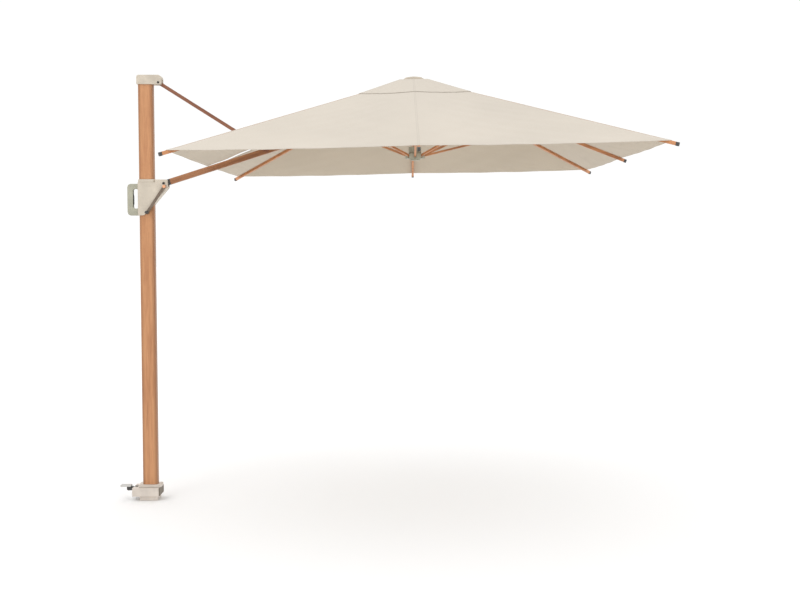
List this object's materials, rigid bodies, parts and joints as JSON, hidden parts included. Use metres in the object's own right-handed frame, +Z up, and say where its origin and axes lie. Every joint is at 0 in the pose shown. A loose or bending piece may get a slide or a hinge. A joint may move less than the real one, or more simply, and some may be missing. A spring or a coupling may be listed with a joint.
{
  "type": "cantilever parasol",
  "caption": "Square side-post parasol with a sliding boom carrier, a crank, a turning mast on a small bolted foot and a folding vented canopy.",
  "frame": {"origin": "mast axis at the underside of the foot plate", "axes": "+Z up along the mast, +X from the mast to the canopy"},
  "size_m": [3.7123, 3.0822, 3.097],
  "materials": {
    "bare_steel": "zinc plated",
    "beige_paint": "satin",
    "dark_plastic": "satin",
    "grey_rubber": "matt",
    "taupe_plastic": "satin",
    "taupe_metal": "painted, satin",
    "mast_finish": "printed wood grain, satin",
    "beige_plastic": "satin",
    "dark_steel": "blackened",
    "strut_finish": "dark wood tone, satin",
    "stone_plastic": "fine texture",
    "orange_plastic": "satin",
    "boom_finish": "bronze wood tone, satin",
    "rib_finish": "dark wood tone, satin",
    "cord": "braided",
    "cover_fabric": "woven, matt"
  },
  "bodies": {
    "foot": {"foot_plate": "bare_steel", "foot_cover": "beige_paint", "foot_end_panel": "taupe_plastic", "spindle": "bare_steel"},
    "pedal": {"pedal_lever": "dark_plastic", "pedal_tread": "grey_rubber"},
    "mast": {"mast": "mast_finish", "mast_socket": "beige_paint", "mast_cap": "beige_plastic", "strut_bolt": "dark_steel"},
    "strut": {"strut": "strut_finish", "strut_fork": "strut_finish"},
    "slider": {"slider_housing": "beige_plastic", "slider_collar": "beige_plastic", "grip_handle": "stone_plastic", "boom_bolt": "dark_steel"},
    "lever": {"release_lever": "dark_plastic"},
    "crank": {"crank_boss": "orange_plastic", "crank_arm": "taupe_metal", "crank_knob": "dark_plastic"},
    "boom": {"boom": "boom_finish", "cross_pin": "dark_steel", "boom_foot": "dark_plastic", "boom_head": "dark_plastic"},
    "hub": {"hub_block": "dark_plastic", "hub_bolt": "dark_steel", "crown": "dark_plastic", "finial": "beige_plastic", "lift_cord": "cord", "canopy_cover": "cover_fabric", "vent_top": "cover_fabric"},
    "runner": {"runner": "stone_plastic"},
    "rib_mid_1": {"rib_mid_1": "rib_finish", "rib_tip_mid_1": "dark_plastic"},
    "stretcher_mid_1": {"stretcher_mid_1": "rib_finish"},
    "rib_mid_2": {"rib_mid_2": "rib_finish", "rib_tip_mid_2": "dark_plastic"},
    "stretcher_mid_2": {"stretcher_mid_2": "rib_finish"},
    "rib_mid_3": {"rib_mid_3": "rib_finish", "rib_tip_mid_3": "dark_plastic"},
    "stretcher_mid_3": {"stretcher_mid_3": "rib_finish"},
    "rib_corner_1": {"rib_corner_1": "rib_finish", "rib_tip_corner_1": "dark_plastic"},
    "stretcher_corner_1": {"stretcher_corner_1": "rib_finish"},
    "rib_corner_2": {"rib_corner_2": "rib_finish", "rib_tip_corner_2": "dark_plastic"},
    "stretcher_corner_2": {"stretcher_corner_2": "rib_finish"},
    "rib_corner_3": {"rib_corner_3": "rib_finish", "rib_tip_corner_3": "dark_plastic"},
    "stretcher_corner_3": {"stretcher_corner_3": "rib_finish"},
    "rib_corner_4": {"rib_corner_4": "rib_finish", "rib_tip_corner_4": "dark_plastic"},
    "stretcher_corner_4": {"stretcher_corner_4": "rib_finish"}
  },
  "joints": [
    {"name": "pedal_press", "type": "hinge", "parent": "foot", "child": "pedal", "pos_m": [-0.108, 0, 0.076], "axis": [0, -1, 0], "range_deg": [0, 12], "stiffness_Nm_per_rad": 8, "springref_deg": -8.59},
    {"name": "mast_turn", "type": "hinge", "parent": "foot", "child": "mast", "pos_m": [0, 0, 0], "axis": [0, 0, 1], "continuous": true},
    {"name": "slider_slide", "type": "slide", "parent": "mast", "child": "slider", "axis": [0, 0, -1], "range_m": [0, 0.8]},
    {"name": "boom_fold", "type": "hinge", "parent": "slider", "child": "boom", "pos_m": [0.128, 0, 2.319], "axis": [0, -1, 0], "range_deg": [0, 45.4]},
    {"name": "strut_fold", "type": "hinge", "parent": "mast", "child": "strut", "pos_m": [0.0965, 0, 3.042], "axis": [0, 1, 0], "range_deg": [0, 32.93]},
    {"name": "hub_level", "type": "hinge", "parent": "boom", "child": "hub", "pos_m": [1.94, 0, 2.896], "axis": [0, 1, 0], "range_deg": [0, 45.4]},
    {"name": "runner_slide", "type": "slide", "parent": "hub", "child": "runner", "axis": [0.0194, 0, -0.9998], "range_m": [0, 1.1683], "deforming": ["lift_cord", "canopy_cover", "vent_top"]},
    {"name": "lever_squeeze", "type": "hinge", "parent": "slider", "child": "lever", "pos_m": [-0.107, 0, 2.256], "axis": [0, 1, 0], "range_deg": [0, 5], "stiffness_Nm_per_rad": 2, "springref_deg": -5.73},
    {"name": "crank_turn", "type": "hinge", "parent": "slider", "child": "crank", "pos_m": [0.134, 0, 2.295], "axis": [0, 1, 0], "range_deg": [0, 2160.5]},
    {"name": "rib_fold_mid_1", "type": "hinge", "parent": "hub", "child": "rib_mid_1", "pos_m": [1.93717, -0.085, 3.04197], "axis": [0.9998, 0, 0.0194], "range_deg": [0, 63.78]},
    {"name": "stretcher_fold_mid_1", "type": "hinge", "parent": "rib_mid_1", "child": "stretcher_mid_1", "pos_m": [1.94382, -0.8738, 2.69889], "axis": [-0.9998, 0, -0.0194], "range_deg": [0, 136.38]},
    {"name": "rib_fold_mid_2", "type": "hinge", "parent": "hub", "child": "rib_mid_2", "pos_m": [2.02216, 0, 3.04362], "axis": [0, 1, 0], "range_deg": [0, 63.78]},
    {"name": "stretcher_fold_mid_2", "type": "hinge", "parent": "rib_mid_2", "child": "stretcher_mid_2", "pos_m": [2.81746, 0, 2.71582], "axis": [0, -1, 0], "range_deg": [0, 136.38]},
    {"name": "rib_fold_mid_3", "type": "hinge", "parent": "hub", "child": "rib_mid_3", "pos_m": [1.93717, 0.085, 3.04197], "axis": [-0.9998, 0, -0.0194], "range_deg": [0, 63.78]},
    {"name": "stretcher_fold_mid_3", "type": "hinge", "parent": "rib_mid_3", "child": "stretcher_mid_3", "pos_m": [1.94382, 0.8738, 2.69889], "axis": [0.9998, 0, 0.0194], "range_deg": [0, 136.38]},
    {"name": "rib_fold_corner_1", "type": "hinge", "parent": "hub", "child": "rib_corner_1", "pos_m": [1.87708, -0.0601, 3.04081], "axis": [0.707, -0.7071, 0.0137], "range_deg": [0, 68.76]},
    {"name": "stretcher_fold_corner_1", "type": "hinge", "parent": "rib_corner_1", "child": "stretcher_corner_1", "pos_m": [1.32038, -0.62166, 2.78457], "axis": [-0.707, 0.7071, -0.0137], "range_deg": [0, 134.12]},
    {"name": "rib_fold_corner_2", "type": "hinge", "parent": "hub", "child": "rib_corner_2", "pos_m": [1.99726, -0.0601, 3.04314], "axis": [0.707, 0.7071, 0.0137], "range_deg": [0, 68.76]},
    {"name": "stretcher_fold_corner_2", "type": "hinge", "parent": "rib_corner_2", "child": "stretcher_corner_2", "pos_m": [2.56347, -0.62166, 2.80866], "axis": [-0.707, -0.7071, -0.0137], "range_deg": [0, 134.12]},
    {"name": "rib_fold_corner_3", "type": "hinge", "parent": "hub", "child": "rib_corner_3", "pos_m": [1.99726, 0.0601, 3.04314], "axis": [-0.707, 0.7071, -0.0137], "range_deg": [0, 68.76]},
    {"name": "stretcher_fold_corner_3", "type": "hinge", "parent": "rib_corner_3", "child": "stretcher_corner_3", "pos_m": [2.56347, 0.62166, 2.80866], "axis": [0.707, -0.7071, 0.0137], "range_deg": [0, 134.12]},
    {"name": "rib_fold_corner_4", "type": "hinge", "parent": "hub", "child": "rib_corner_4", "pos_m": [1.87708, 0.0601, 3.04081], "axis": [-0.707, -0.7071, -0.0137], "range_deg": [0, 68.76]},
    {"name": "stretcher_fold_corner_4", "type": "hinge", "parent": "rib_corner_4", "child": "stretcher_corner_4", "pos_m": [1.32038, 0.62166, 2.78457], "axis": [0.707, 0.7071, 0.0137], "range_deg": [0, 134.12]}
  ],
  "couplings": [
    {"joint": "boom_fold", "follows": "slider_slide", "rad_per_m": 0.98995},
    {"joint": "strut_fold", "follows": "slider_slide", "rad_per_m": 0.71802},
    {"joint": "hub_level", "follows": "slider_slide", "rad_per_m": 0.98995},
    {"joint": "crank_turn", "follows": "runner_slide", "rad_per_m": 32.268},
    {"joint": "rib_fold_mid_1", "follows": "runner_slide", "rad_per_m": 0.95245},
    {"joint": "stretcher_fold_mid_1", "follows": "runner_slide", "rad_per_m": 2.0371},
    {"joint": "rib_fold_mid_2", "follows": "runner_slide", "rad_per_m": 0.95245},
    {"joint": "stretcher_fold_mid_2", "follows": "runner_slide", "rad_per_m": 2.0371},
    {"joint": "rib_fold_mid_3", "follows": "runner_slide", "rad_per_m": 0.95245},
    {"joint": "stretcher_fold_mid_3", "follows": "runner_slide", "rad_per_m": 2.0371},
    {"joint": "rib_fold_corner_1", "follows": "runner_slide", "rad_per_m": 1.027},
    {"joint": "stretcher_fold_corner_1", "follows": "runner_slide", "rad_per_m": 2.0033},
    {"joint": "rib_fold_corner_2", "follows": "runner_slide", "rad_per_m": 1.027},
    {"joint": "stretcher_fold_corner_2", "follows": "runner_slide", "rad_per_m": 2.0033},
    {"joint": "rib_fold_corner_3", "follows": "runner_slide", "rad_per_m": 1.027},
    {"joint": "stretcher_fold_corner_3", "follows": "runner_slide", "rad_per_m": 2.0033},
    {"joint": "rib_fold_corner_4", "follows": "runner_slide", "rad_per_m": 1.027},
    {"joint": "stretcher_fold_corner_4", "follows": "runner_slide", "rad_per_m": 2.0033}
  ]
}
